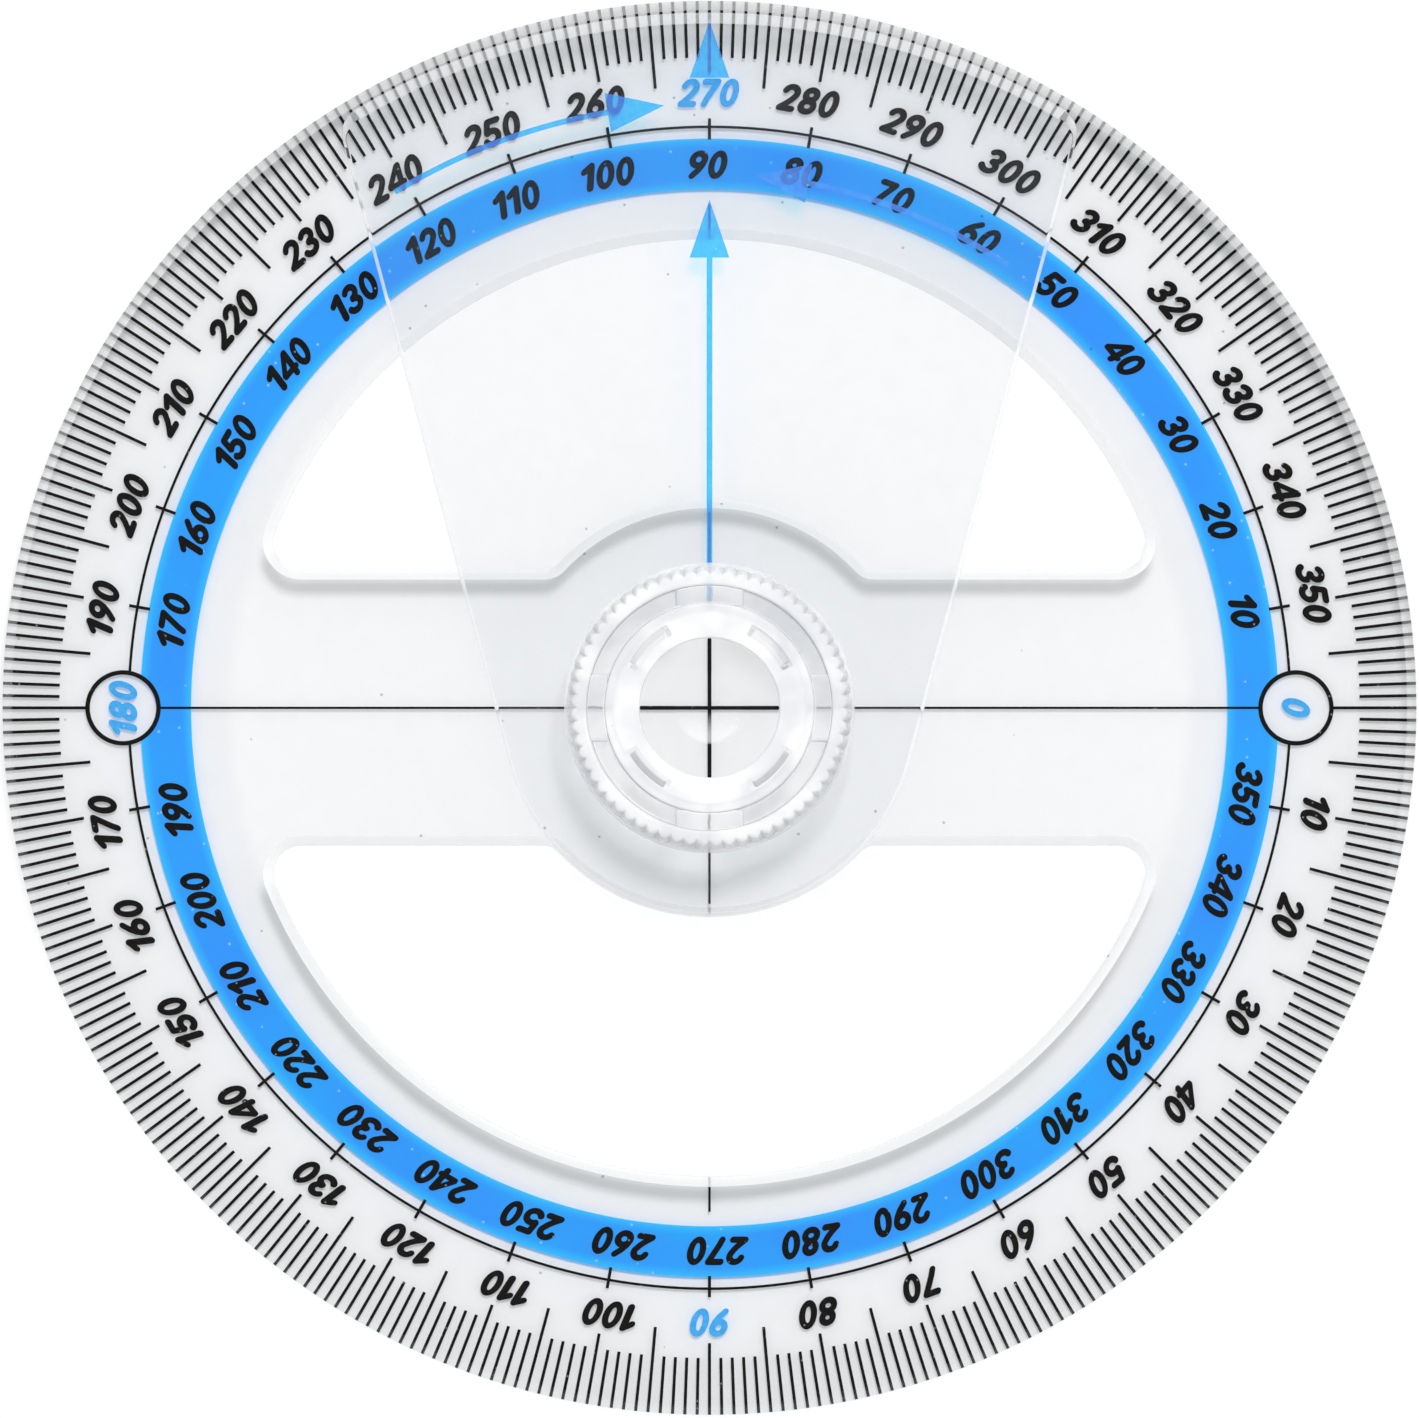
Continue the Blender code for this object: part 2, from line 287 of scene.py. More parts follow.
def lower_opening_outline(grow):
    return [(-x, -y) for x, y in opening_outline(grow)]


def arm_outline(shrink):
    """The arm's outer edge, anticlockwise, drawn in by this much from its full size."""
    hub = ARM_HUB_R - shrink
    tip = ARM_R - shrink
    corner = ARM_CORNER_R - shrink
    flare = math.radians(ARM_FLARE)
    inset = hub - corner
    reach = math.sqrt((tip - corner) ** 2 - inset**2)
    corner_centre = (
        inset * math.cos(flare) + reach * math.sin(flare),
        -inset * math.sin(flare) + reach * math.cos(flare),
    )
    tip_start = angle_of(corner_centre)
    half = arc((0.0, 0.0), hub, -90.0, -ARM_FLARE, ARM_HUB_STEPS)
    half += arc(corner_centre, corner, -ARM_FLARE, tip_start, ARM_CORNER_STEPS)
    half += arc((0.0, 0.0), tip, tip_start, 90.0, ARM_TIP_STEPS)[1:]
    return half + mirrored_x(half)[1:-1]


def arm_tip_share():
    """For each point of arm_outline, how far its edge has turned from a side into the tip."""
    half = [0.0] * (ARM_HUB_STEPS + 1)
    half += [i / ARM_CORNER_STEPS for i in range(ARM_CORNER_STEPS + 1)]
    half += [1.0] * ARM_TIP_STEPS
    return half + half[::-1][1:-1]


def arm_bore_outline(grow):
    """The arm's bore with its four notches for the knob's lugs, anticlockwise."""
    half_span = NOTCH_HALF_SPAN + math.degrees(grow / NOTCH_R)
    points = []
    for middle in QUARTERS:
        start, end = middle - half_span, middle + half_span
        points += arc((0.0, 0.0), NOTCH_R + grow, start, end, NOTCH_STEPS)
        points += arc((0.0, 0.0), ARM_BORE_R + grow, end, start + 90.0, BORE_STEPS)
    return points


def patch_outline(r_in, r_out, middle, span, corner):
    """A round-cornered stretch of a ring: the footprint of a post, slot, lug or window."""
    r_mid = (r_in + r_out) / 2
    half = math.radians(span) / 2 * r_mid - corner
    steps = PATCH_CORNER_STEPS
    side = [2 * i / PATCH_SIDE_STEPS - 1.0 for i in range(1, PATCH_SIDE_STEPS)]
    points = arc((half, r_in + corner), corner, -90.0, 0.0, steps)
    points += arc((half, r_out - corner), corner, 0.0, 90.0, steps)
    points += [(-half * share, r_out) for share in side]
    points += arc((-half, r_out - corner), corner, 90.0, 180.0, steps)
    points += arc((-half, r_in + corner), corner, 180.0, 270.0, steps)
    points += [(half * share, r_in) for share in side]
    return [polar(r, middle - math.degrees(along / r_mid)) for along, r in points]


# Mesh building


def loft(bm, rings, closed_section=False):
    """Quads between closed rings of points that all have the same count. Returns their vertices."""
    rows = [[bm.verts.new(point) for point in ring] for ring in rings]
    pairs = list(zip(rows, rows[1:]))
    if closed_section:
        pairs.append((rows[-1], rows[0]))
    for low, high in pairs:
        for i in range(len(low)):
            j = (i + 1) % len(low)
            bm.faces.new((low[i], low[j], high[j], high[i]))
    return rows


def wall(bm, outline, profile):
    """A wall round an outline. The profile gives, ring by ring, the outline's offset and height."""
    rings = [[(x, y, z) for x, y in outline(offset)] for offset, z in profile]
    rows = loft(bm, rings)
    return rows[0], rows[-1]


def inside_loops(points, starts, ends):
    """For each point, whether it lies inside the loops that these edges make, by the even-odd rule."""
    x, y = points[:, :1], points[:, 1:]
    rise = ends[:, 1] - starts[:, 1]
    rise[rise == 0.0] = 1.0
    crossing = starts[:, 0] + (y - starts[:, 1]) * (ends[:, 0] - starts[:, 0]) / rise
    spans = (starts[:, 1] > y) != (ends[:, 1] > y)
    return (spans & (x < crossing)).sum(axis=1) % 2 == 1


def cap(bm, rows):
    """Flat triangles whose outline and holes are these rows of vertices."""
    verts = [vert for row in rows for vert in row]
    edges = []
    for row in rows:
        first = len(edges)
        edges += [(first + i, first + (i + 1) % len(row)) for i in range(len(row))]
    points = [vert.co.xy for vert in verts]
    made = geometry.delaunay_2d_cdt(points, edges, [], 0, CAP_MERGE, True)
    sources = [verts[origin[0]] for origin in made[3]]
    flat = np.array([vert.co.xy for vert in verts])
    starts = flat[[edge[0] for edge in edges]]
    ends = flat[[edge[1] for edge in edges]]
    corners = np.array([[sources[i].co.xy for i in face] for face in made[2]])
    for face, kept in zip(made[2], inside_loops(corners.mean(axis=1), starts, ends)):
        if kept:
            bm.faces.new([sources[i] for i in face])


def plate_profile(low, high, chamfer):
    """The edge of a plate between two heights, chamfered on top, with every edge slightly round."""
    line = [
        (SUPPORT + EDGE_R, low),
        (0.0, low),
        (0.0, high - chamfer),
        (chamfer, high),
        (chamfer + EDGE_R + SUPPORT, high),
    ]
    return rounded(line, EDGE_R)


def mesh_object(name, bm, material):
    """An object from a mesh in millimetres, smooth except at its sharp edges."""
    bmesh.ops.recalc_face_normals(bm, faces=bm.faces)
    mesh = bpy.data.meshes.new(name)
    bm.to_mesh(mesh)
    bm.free()
    return object_from_mesh(name, mesh, material)


def object_from_mesh(name, mesh, material):
    mesh.transform(Matrix.Scale(MM, 4))
    mesh.materials.clear()
    mesh.materials.append(material)
    mesh.shade_smooth()
    mesh.set_sharp_from_angle(angle=math.radians(SHARP_ANGLE))
    obj = bpy.data.objects.new(name, mesh)
    bpy.context.scene.collection.objects.link(obj)
    return obj


def combined(bm, other, operation):
    """The mesh of a Boolean between two closed bmeshes, as a new bmesh."""
    objects = []
    for i, source in enumerate((bm, other)):
        bmesh.ops.recalc_face_normals(source, faces=source.faces)
        mesh = bpy.data.meshes.new(f"operand_{i}")
        source.to_mesh(mesh)
        source.free()
        obj = bpy.data.objects.new(f"operand_{i}", mesh)
        bpy.context.scene.collection.objects.link(obj)
        objects.append(obj)
    modifier = objects[0].modifiers.new("Cut", "BOOLEAN")
    modifier.operation = operation
    modifier.solver = "EXACT"
    modifier.object = objects[1]
    graph = bpy.context.evaluated_depsgraph_get()
    made = bmesh.new()
    made.from_object(objects[0], graph)
    for obj in objects:
        mesh = obj.data
        bpy.data.objects.remove(obj, do_unlink=True)
        bpy.data.meshes.remove(mesh)
    return made


def flat_mesh(loops, z_low, z_high):
    """A bmesh of flat solids between two heights. A loop inside another is a hole in it."""
    bm = bmesh.new()
    bottoms = []
    for points in loops:
        rows = loft(bm, [[(x, y, z) for x, y in points] for z in (z_low, z_high)])
        bottoms.append(rows)
    cap(bm, [rows[0] for rows in bottoms])
    cap(bm, [rows[1] for rows in bottoms])
    return bm


# Figures


def stroke(points, half_width):
    """The outline of a pen stroke with round ends along these points."""
    sides = ([], [])
    for i, (x, y) in enumerate(points):
        ax, ay = points[max(i - 1, 0)]
        bx, by = points[min(i + 1, len(points) - 1)]
        length = math.hypot(bx - ax, by - ay)
        nx, ny = (ay - by) / length, (bx - ax) / length
        sides[0].append((x + nx * half_width, y + ny * half_width))
        sides[1].append((x - nx * half_width, y - ny * half_width))
    outline = list(reversed(sides[0]))
    first, last = points[0], points[-1]
    start = math.degrees(math.atan2(sides[0][0][1] - first[1], sides[0][0][0] - first[0]))
    outline += arc(first, half_width, start, start + 180.0, PEN_END_STEPS)[1:-1]
    outline += sides[1]
    start = math.degrees(math.atan2(sides[1][-1][1] - last[1], sides[1][-1][0] - last[0]))
    outline += arc(last, half_width, start, start + 180.0, PEN_END_STEPS)[1:-1]
    return outline


def ring_loops(centre, radii):
    """The two loops of a pen line that closes on itself."""
    across, up = radii
    outer = arc(centre, (across + PEN, up + PEN), 0.0, 360.0, RING_STEPS)[:-1]
    inner = arc(centre, (across - PEN, up - PEN), 0.0, 360.0, RING_STEPS)[:-1]
    return [outer, inner]


def figure_strokes(figure):
    """A figure one unit high, as a list of parts: each is the loops of one pen line."""
    if figure == "0":
        return [ring_loops((MID_X, 0.5), (BOWL_X, 0.5 - PEN))]
    if figure == "1":
        flag = [(0.06, 0.70), (0.15, 0.77), (0.29, TOP_LINE - 0.02)]
        stem = [(0.31, 1.0 - BOLD_PEN), (0.31, BOLD_PEN)]
        return [[stroke(flag, PEN)], [stroke(stem, BOLD_PEN)]]
    if figure == "2":
        hook = arc((MID_X, 0.685), (BOWL_X, TOP_LINE - 0.685), 165.0, -25.0, 14)
        hook += [(0.40, 0.42), (0.27, 0.27), (0.11, LOW_LINE + 0.01)]
        return [[stroke(hook, PEN)], [stroke([(0.11, LOW_LINE), (0.53, LOW_LINE)], PEN)]]
    if figure == "3":
        upper = arc((0.30, 0.70), (0.20, TOP_LINE - 0.70), 150.0, -85.0, 14)
        lower = arc((0.29, 0.30), (0.235, 0.30 - LOW_LINE), 85.0, -155.0, 16)
        return [[stroke(upper, PEN)], [stroke(lower, PEN)]]
    if figure == "4":
        slope = stroke([(0.45, TOP_LINE), (0.05, 0.33)], SLIM_PEN)
        bar = stroke([(0.06, 0.29), (0.60, 0.29)], SLIM_PEN)
        stem = stroke([(0.49, TOP_LINE), (0.49, LOW_LINE)], PEN)
        return [[slope], [bar], [stem]]
    if figure == "5":
        bar = stroke([(0.17, TOP_LINE), (0.52, TOP_LINE)], PEN)
        stem = stroke([(0.16, TOP_LINE), (0.12, 0.54)], PEN)
        bowl = arc((0.29, 0.335), (0.235, 0.335 - LOW_LINE), 128.0, -155.0, 18)
        return [[bar], [stem], [stroke(bowl, PEN)]]
    if figure == "6":
        stem = [(0.115, 0.36), (0.16, 0.52), (0.27, 0.70), (0.44, TOP_LINE)]
        return [ring_loops((MID_X, 0.32), (BOWL_X, 0.32 - LOW_LINE)), [stroke(stem, PEN)]]
    if figure == "7":
        bar = stroke([(0.10, TOP_LINE), (0.53, TOP_LINE)], PEN)
        stem = stroke([(0.53, TOP_LINE - 0.01), (0.38, 0.55), (0.27, 0.30), (0.21, LOW_LINE)], PEN)
        return [[bar], [stem]]
    if figure == "8":
        upper = ring_loops((MID_X, 0.71), (0.185, TOP_LINE - 0.71))
        lower = ring_loops((MID_X, 0.30), (BOWL_X, 0.30 - LOW_LINE))
        return [upper, lower]
    turned = []
    for loops in figure_strokes("6"):
        turned.append([[(2 * MID_X - x, 1.0 - y) for x, y in loop] for loop in loops])
    return turned


def figure_mesh(figure):
    """A mesh of one slanted figure, one unit high and thick, its pen lines joined."""
    parts = figure_strokes(figure)
    bm = flat_mesh(parts[0], 0.0, 1.0)
    for loops in parts[1:]:
        bm = combined(bm, flat_mesh(loops, 0.0, 1.0), "UNION")
    bmesh.ops.recalc_face_normals(bm, faces=bm.faces)
    mesh = bpy.data.meshes.new(f"figure_{figure}")
    bm.to_mesh(mesh)
    bm.free()
    slant = Matrix.Identity(4)
    slant[0][1] = FIGURE_SLANT
    mesh.transform(slant)
    return mesh


def add_number(bm, meshes, text, radius, degrees, shift):
    """A number in its place on the dial, its top outwards."""
    width = sum(FIGURE_WIDTH[c] for c in text) + FIGURE_GAP * (len(text) - 1)
    x = shift - width / 2 - FIGURE_SLANT / 2
    low, high = BLACK_Z
    size = Matrix.Diagonal((FIGURE_H, FIGURE_H, high - low, 1.0))
    turn = Matrix.Rotation(math.radians(degrees - 90.0), 4, "Z")
    for figure in text:
        place = turn @ Matrix.Translation((x * FIGURE_H, radius - FIGURE_H / 2, low)) @ size
        copy = meshes[figure].copy()
        copy.transform(place)
        bm.from_mesh(copy)
        bpy.data.meshes.remove(copy)
        x += FIGURE_WIDTH[figure] + FIGURE_GAP


# Materials: radii, heights and sizes in millimetres, scales and cells in features a metre

PLASTIC_IOR = 1.47
PLASTIC_GLOSS = 0.16
DIAL_TINT = (0.942, 0.951, 0.962)
DIAL_RING_TINT = (0.890, 0.902, 0.918)
RING_FROM_R = (33.4, 34.4)
ARM_TINT = (0.951, 0.958, 0.970)
KNOB_TINT = (0.996, 0.998, 1.0)
PEARL_COLOURS = ((0.79, 0.80, 0.83), (0.93, 0.935, 0.945))
PEARL_SCALE = 260.0
PEARL_CLOUDS = (0.40, 0.58)
FLOW_SCALE = 70.0
FLOW_RIPPLE = 0.02
FLOW_STRENGTH = 0.6
SCUFF_SCALE = 900.0
SCUFF_STRETCH = (1.0, 0.04, 1.0)
SCUFF_RANGE = (0.62, 0.80)
SCUFF_ROUGHNESS = (0.0, 0.12)
KNOB_ROUGHNESS = (0.02, 0.15)
SPECK_COLOUR = (0.38, 0.37, 0.35)
SPECK_CELLS = 260.0
SPECK_SIZE = (0.020, 0.036)
MIDDLE_R = (7.1, 7.3)
INNER_WALLS_R = (8.9, 9.1)
THROUGH_LIGHT = (0.995, 0.996, 0.998)
HELD_LIGHT = (0.0, 0.02, 0.01)
UPRIGHT_SLOPE = (0.30, 0.55)
FLAT_SLOPE = (0.80, 0.97)
PEARL_SHARE = 0.68
# Painted highlight: sloping faces take a matt pale share, and past BEVEL_MAX_R only the bevels that face the
# lamp
BEVEL_SLOPE = (0.85, 0.95)
BEVEL_PAINTED_HIGHLIGHT = 0.55
BEVEL_MAX_R = (44.0, 46.0)
RIM_PAINTED_HIGHLIGHT = 0.5
RIM_FACING = (-0.2, 0.4)
BEVEL_FACING = (-0.2, 0.3)
# Painted highlight on the side of the centre dimple towards the lamp
DIMPLE_SLOPE = (0.03, 0.14)
DIMPLE_PAINTED_HIGHLIGHT = 0.42
DIMPLE_FADE = 0.1
TROUGH_WIDTH = (0.5, 0.65)
TROUGH_PEARL = 0.36
PEARL_ROUGHNESS = 0.30
NEVER_CLOUDY = (90.0, 99.0)
POST_CLOUDY = (2.6, 3.0)
KNOB_CLOUDY = (3.4, 4.3)
INK_GLOSS = 0.1
INK_ROUGHNESS = 0.55
FILM_ROUGHNESS = 0.5
BLOTCH_SCALE = 2600.0
BLOTCH_RANGE = (0.35, 0.75)
BLOTCH_DARKNESS = 0.8
PINHOLE_CELLS = 1400.0
PINHOLE_SIZE = (0.06, 0.12)
PINHOLE_SHARE = 0.9
GRAIN_SCALE = 5000.0
GRAIN_HEIGHT = 0.004
GRAIN_STRENGTH = 0.3
BLACK = (0.006, 0.005, 0.004)
WORN_BLACK = (0.25, 0.27, 0.28)
LIGHT_BLUE = (0.065, 0.42, 0.90)
WORN_BLUE = (0.30, 0.60, 1.0)
PATCH_RANGE = (0.36, 0.64)
DOT_CELLS = 800.0
DOT_SIZE = (0.06, 0.10)
DOT_SHARE = 0.7
DOT_BLUE = (0.35, 0.65, 1.0)
BAND_BLUES = ((0.042, 0.30, 0.92), (0.032, 0.38, 0.93))
# Painted highlight: paler blue across the band's two edges
BAND_EDGE_PAINTED_HIGHLIGHT = (0.045, 0.58, 0.96)
BAND_EDGE_W = 0.65
ARROW_BLUES = ((0.11, 0.28, 0.95), (0.13, 0.36, 0.95))
INK_SHADOW = (0.70, 0.70, 0.70)
PAPER_COLOURS = ((0.86, 0.865, 0.87), (0.88, 0.885, 0.89))
PAPER_GRAIN = 900.0
PAPER_ROUGHNESS = 0.9
PAPER_GLOSS = 0.1


class Nodes:
    """A material's node tree, with a short way to add a node and link its inputs."""

    def __init__(self, name):
        self.material = bpy.data.materials.new(name)
        self.material.use_nodes = True
        self.tree = self.material.node_tree
        self.shader = self.tree.nodes["Principled BSDF"]
        self.output = self.tree.nodes["Material Output"]
        self.place = self.add("ShaderNodeTexCoord").outputs["Object"]

    def add(self, kind, **settings):
        node = self.tree.nodes.new(kind)
        for name, value in settings.items():
            setattr(node, name, value)
        return node

    def link(self, source, target):
        self.tree.links.new(source, target)

    def noise(self, scale, detail, stretch=(1.0, 1.0, 1.0)):
        """Noise over the object, whose scale is in features a metre."""
        mapping = self.add("ShaderNodeMapping")
        mapping.inputs["Scale"].default_value = stretch
        noise = self.add("ShaderNodeTexNoise")
        noise.inputs["Scale"].default_value = scale
        noise.inputs["Detail"].default_value = detail
        self.link(self.place, mapping.inputs["Vector"])
        self.link(mapping.outputs["Vector"], noise.inputs["Vector"])
        return noise.outputs["Fac"]

    def cells(self, scale):
        """The distance from the middle of each of many random cells, in cells."""
        cells = self.add("ShaderNodeTexVoronoi")
        cells.inputs["Scale"].default_value = scale
        self.link(self.place, cells.inputs["Vector"])
        return cells.outputs["Distance"]

    def split(self, vector, axis):
        node = self.add("ShaderNodeSeparateXYZ")
        self.link(vector, node.inputs["Vector"])
        return node.outputs[axis]

    def maths(self, operation, *values):
        node = self.add("ShaderNodeMath", operation=operation)
        for value, target in zip(values, node.inputs):
            if isinstance(value, float):
                target.default_value = value
            else:
                self.link(value, target)
        return node.outputs["Value"]

    def ranged(self, source, from_low, from_high, to_low, to_high):
        node = self.add("ShaderNodeMapRange")
        node.inputs["From Min"].default_value = from_low
        node.inputs["From Max"].default_value = from_high
        node.inputs["To Min"].default_value = to_low
        node.inputs["To Max"].default_value = to_high
        self.link(source, node.inputs["Value"])
        return node.outputs["Result"]

    def blended(self, share, first, second):
        """A value between two, by a share from another node."""
        node = self.add("ShaderNodeMix")
        self.link(share, node.inputs[0])
        for value, target in ((first, node.inputs[2]), (second, node.inputs[3])):
            if isinstance(value, float):
                target.default_value = value
            else:
                self.link(value, target)
        return node.outputs[0]

    def mixed(self, share, first, second):
        """A colour between two, by a share from another node."""
        node = self.add("ShaderNodeMix", data_type="RGBA")
        self.link(share, node.inputs[0])
        for value, target in ((first, node.inputs[6]), (second, node.inputs[7])):
            if isinstance(value, tuple):
                target.default_value = (*value, 1.0)
            else:
                self.link(value, target)
        return node.outputs[2]

    def shader_mix(self, share, first, second):
        node = self.add("ShaderNodeMixShader")
        if isinstance(share, float):
            node.inputs["Fac"].default_value = share
        else:
            self.link(share, node.inputs["Fac"])
        self.link(first, node.inputs[1])
        self.link(second, node.inputs[2])
        return node.outputs["Shader"]

    def bump(self, height, distance, strength):
        node = self.add("ShaderNodeBump")
        node.inputs["Distance"].default_value = distance
        node.inputs["Strength"].default_value = strength
        self.link(height, node.inputs["Height"])
        return node


def radius_from_axis(nodes):
    """The distance of the shaded point from the dial's centre axis, in metres."""
    across = nodes.add("ShaderNodeMapping")
    across.inputs["Scale"].default_value = (1.0, 1.0, 0.0)
    nodes.link(nodes.place, across.inputs["Vector"])
    radius = nodes.add("ShaderNodeVectorMath", operation="LENGTH")
    nodes.link(across.outputs["Vector"], radius.inputs[0])
    return radius.outputs["Value"]


def whiteness(nodes, cloudy):
    """How much of each surface is a matt pale share rather than clear.

    On the bevels of the openings and the arm, on the rim's bevels that face the lamp, and on the side of the
    centre dimple towards the lamp, this share is a painted highlight. On the pearly upper part of the knob,
    whose trough and spokes stay clearer, it is the plastic's own pearl.
    """
    normal = nodes.add("ShaderNodeNewGeometry").outputs["Normal"]
    radius = radius_from_axis(nodes)
    # Painted highlight on sloping faces, past BEVEL_MAX_R only on bevels that face the lamp
    sloping = nodes.ranged(nodes.split(normal, "Z"), *BEVEL_SLOPE, BEVEL_PAINTED_HIGHLIGHT, 0.0)
    outside = nodes.ranged(radius, BEVEL_MAX_R[0] * MM, BEVEL_MAX_R[1] * MM, 0.0, 1.0)
    rim = nodes.ranged(nodes.split(normal, "Y"), *RIM_FACING, 0.0, RIM_PAINTED_HIGHLIGHT)
    bevel = nodes.maths("MULTIPLY", sloping, nodes.blended(outside, 1.0, rim))
    # Painted highlight on the dimple's side that faces the lamp
    hollow = nodes.ranged(nodes.split(normal, "Y"), *DIMPLE_SLOPE, 0.0, DIMPLE_PAINTED_HIGHLIGHT)
    in_hollow = nodes.ranged(radius, DIMPLE_R * MM, (DIMPLE_R + DIMPLE_FADE) * MM, 1.0, 0.0)
    dimple = nodes.maths("MULTIPLY", hollow, in_hollow)
    from_trough = nodes.maths("SUBTRACT", radius, (TUBE_R + GRIP_R_IN) / 2 * MM)
    away = nodes.maths("ABSOLUTE", from_trough)
    pearl = nodes.ranged(away, TROUGH_WIDTH[0] * MM, TROUGH_WIDTH[1] * MM, TROUGH_PEARL, PEARL_SHARE)
    knob = nodes.maths("MULTIPLY", cloudy, pearl)
    return nodes.maths("MAXIMUM", nodes.maths("MAXIMUM", bevel, dimple), knob)


def light_share(nodes, lit):
    """How much of a lamp's light goes on through each surface of a moulding.

    Flat faces, the middle of the dial, and bevels turned away from the lamp pass it all. The shares
    in lit are for a bevel that it comes in by, an upright wall that it comes in by, and an upright
    wall that it leaves by, outside the knob's trough.
    """
    bevel_in, wall_in, wall_out = lit
    shape = nodes.add("ShaderNodeNewGeometry")
    slope = nodes.maths("ABSOLUTE", nodes.split(shape.outputs["Normal"], "Z"))
    comes_in = shape.outputs["Backfacing"]
    radius = radius_from_axis(nodes)
    leaves = nodes.ranged(radius, INNER_WALLS_R[0] * MM, INNER_WALLS_R[1] * MM, 1.0, wall_out)
    by_wall = nodes.blended(comes_in, leaves, wall_in)
    facing = nodes.ranged(nodes.split(shape.outputs["Normal"], "Y"), *BEVEL_FACING, bevel_in, 1.0)
    by_bevel = nodes.blended(comes_in, 1.0, facing)
    upright = nodes.ranged(slope, *UPRIGHT_SLOPE, 1.0, 0.0)
    flat = nodes.ranged(slope, *FLAT_SLOPE, 0.0, 1.0)
    share = nodes.blended(upright, by_bevel, by_wall)
    middle = nodes.ranged(radius, MIDDLE_R[0] * MM, MIDDLE_R[1] * MM, 1.0, 0.0)
    return nodes.blended(nodes.maths("MAXIMUM", flat, middle), share, 1.0)


def clear_plastic(name, tint, ring_tint, haze, lit, cloudy_z):
    """Moulded clear plastic: slight flow ripples, fine scratches, and a few dark specks in it.

    Light from the lamps goes straight on to what lies under it, by the shares of light_share.
    Between the two levels of cloudy_z the plastic turns pearly. Its tint changes outside the openings.
    """
    nodes = Nodes(name)
    shader = nodes.shader
    shader.inputs["IOR"].default_value = PLASTIC_IOR
    shader.inputs["Specular IOR Level"].default_value = PLASTIC_GLOSS
    cloudy = nodes.ranged(nodes.split(nodes.place, "Z"), cloudy_z[0] * MM, cloudy_z[1] * MM, 0.0, 1.0)
    specks = nodes.ranged(nodes.cells(SPECK_CELLS), *SPECK_SIZE, 1.0, 0.0)
    clouds = nodes.ranged(nodes.noise(PEARL_SCALE, 2.0), *PEARL_CLOUDS, 0.0, 1.0)
    pearl = nodes.mixed(clouds, *PEARL_COLOURS)
    ring = nodes.ranged(radius_from_axis(nodes), RING_FROM_R[0] * MM, RING_FROM_R[1] * MM, 0.0, 1.0)
    colour = nodes.mixed(cloudy, nodes.mixed(ring, tint, ring_tint), pearl)
    nodes.link(nodes.mixed(specks, colour, SPECK_COLOUR), shader.inputs["Base Color"])
    # Matt pale share: painted highlight on bevels and on the dimple's lamp side, and the knob's own pearl
    pearl_and_highlight = whiteness(nodes, cloudy)
    nodes.link(nodes.maths("SUBTRACT", 1.0, pearl_and_highlight), shader.inputs["Transmission Weight"])
    scuffs = nodes.noise(SCUFF_SCALE, 4.0, SCUFF_STRETCH)
    scuffed = nodes.ranged(scuffs, *SCUFF_RANGE, *haze)
    by_height = nodes.ranged(cloudy, 0.5, 1.0, 0.0, PEARL_ROUGHNESS)
    by_pearl_and_highlight = nodes.ranged(pearl_and_highlight, TROUGH_PEARL, PEARL_SHARE, 0.0, PEARL_ROUGHNESS)
    pearly = nodes.maths("MINIMUM", by_height, by_pearl_and_highlight)
    nodes.link(nodes.maths("MAXIMUM", scuffed, pearly), shader.inputs["Roughness"])
    flow = nodes.bump(nodes.noise(FLOW_SCALE, 1.0), FLOW_RIPPLE * MM, FLOW_STRENGTH)
    nodes.link(flow.outputs["Normal"], shader.inputs["Normal"])

    passed = nodes.add("ShaderNodeBsdfTransparent")
    shade = nodes.mixed(light_share(nodes, lit), HELD_LIGHT, THROUGH_LIGHT)
    nodes.link(shade, passed.inputs["Color"])
    path = nodes.add("ShaderNodeLightPath")
    through = passed.outputs["BSDF"]
    body = nodes.shader_mix(path.outputs["Is Diffuse Ray"], shader.outputs["BSDF"], through)
    body = nodes.shader_mix(path.outputs["Is Shadow Ray"], body, through)
    nodes.link(body, nodes.output.inputs["Surface"])
    return nodes.material


def printed_ink(name, colour, worn):
    """Opaque screen ink: a little uneven, with small pinholes where it is thin."""
    nodes = Nodes(name)
    shader = nodes.shader
    shader.inputs["Roughness"].default_value = INK_ROUGHNESS
    shader.inputs["Specular IOR Level"].default_value = INK_GLOSS
    uneven = nodes.ranged(nodes.noise(BLOTCH_SCALE, 3.0), *BLOTCH_RANGE, 0.0, 1.0)
    darker = tuple(BLOTCH_DARKNESS * value for value in colour)
    body = nodes.mixed(uneven, darker, colour)
    pinholes = nodes.ranged(nodes.cells(PINHOLE_CELLS), *PINHOLE_SIZE, PINHOLE_SHARE, 0.0)
    nodes.link(nodes.mixed(pinholes, body, worn), shader.inputs["Base Color"])
    grain = nodes.bump(nodes.noise(GRAIN_SCALE, 2.0), GRAIN_HEIGHT * MM, GRAIN_STRENGTH)
    nodes.link(grain.outputs["Normal"], shader.inputs["Normal"])
    shadow = nodes.add("ShaderNodeBsdfTransparent")
    shadow.inputs["Color"].default_value = (*INK_SHADOW, 1.0)
    path = nodes.add("ShaderNodeLightPath")
    body = nodes.shader_mix(path.outputs["Is Shadow Ray"], shader.outputs["BSDF"], shadow.outputs["BSDF"])
    nodes.link(body, nodes.output.inputs["Surface"])
    return nodes.material


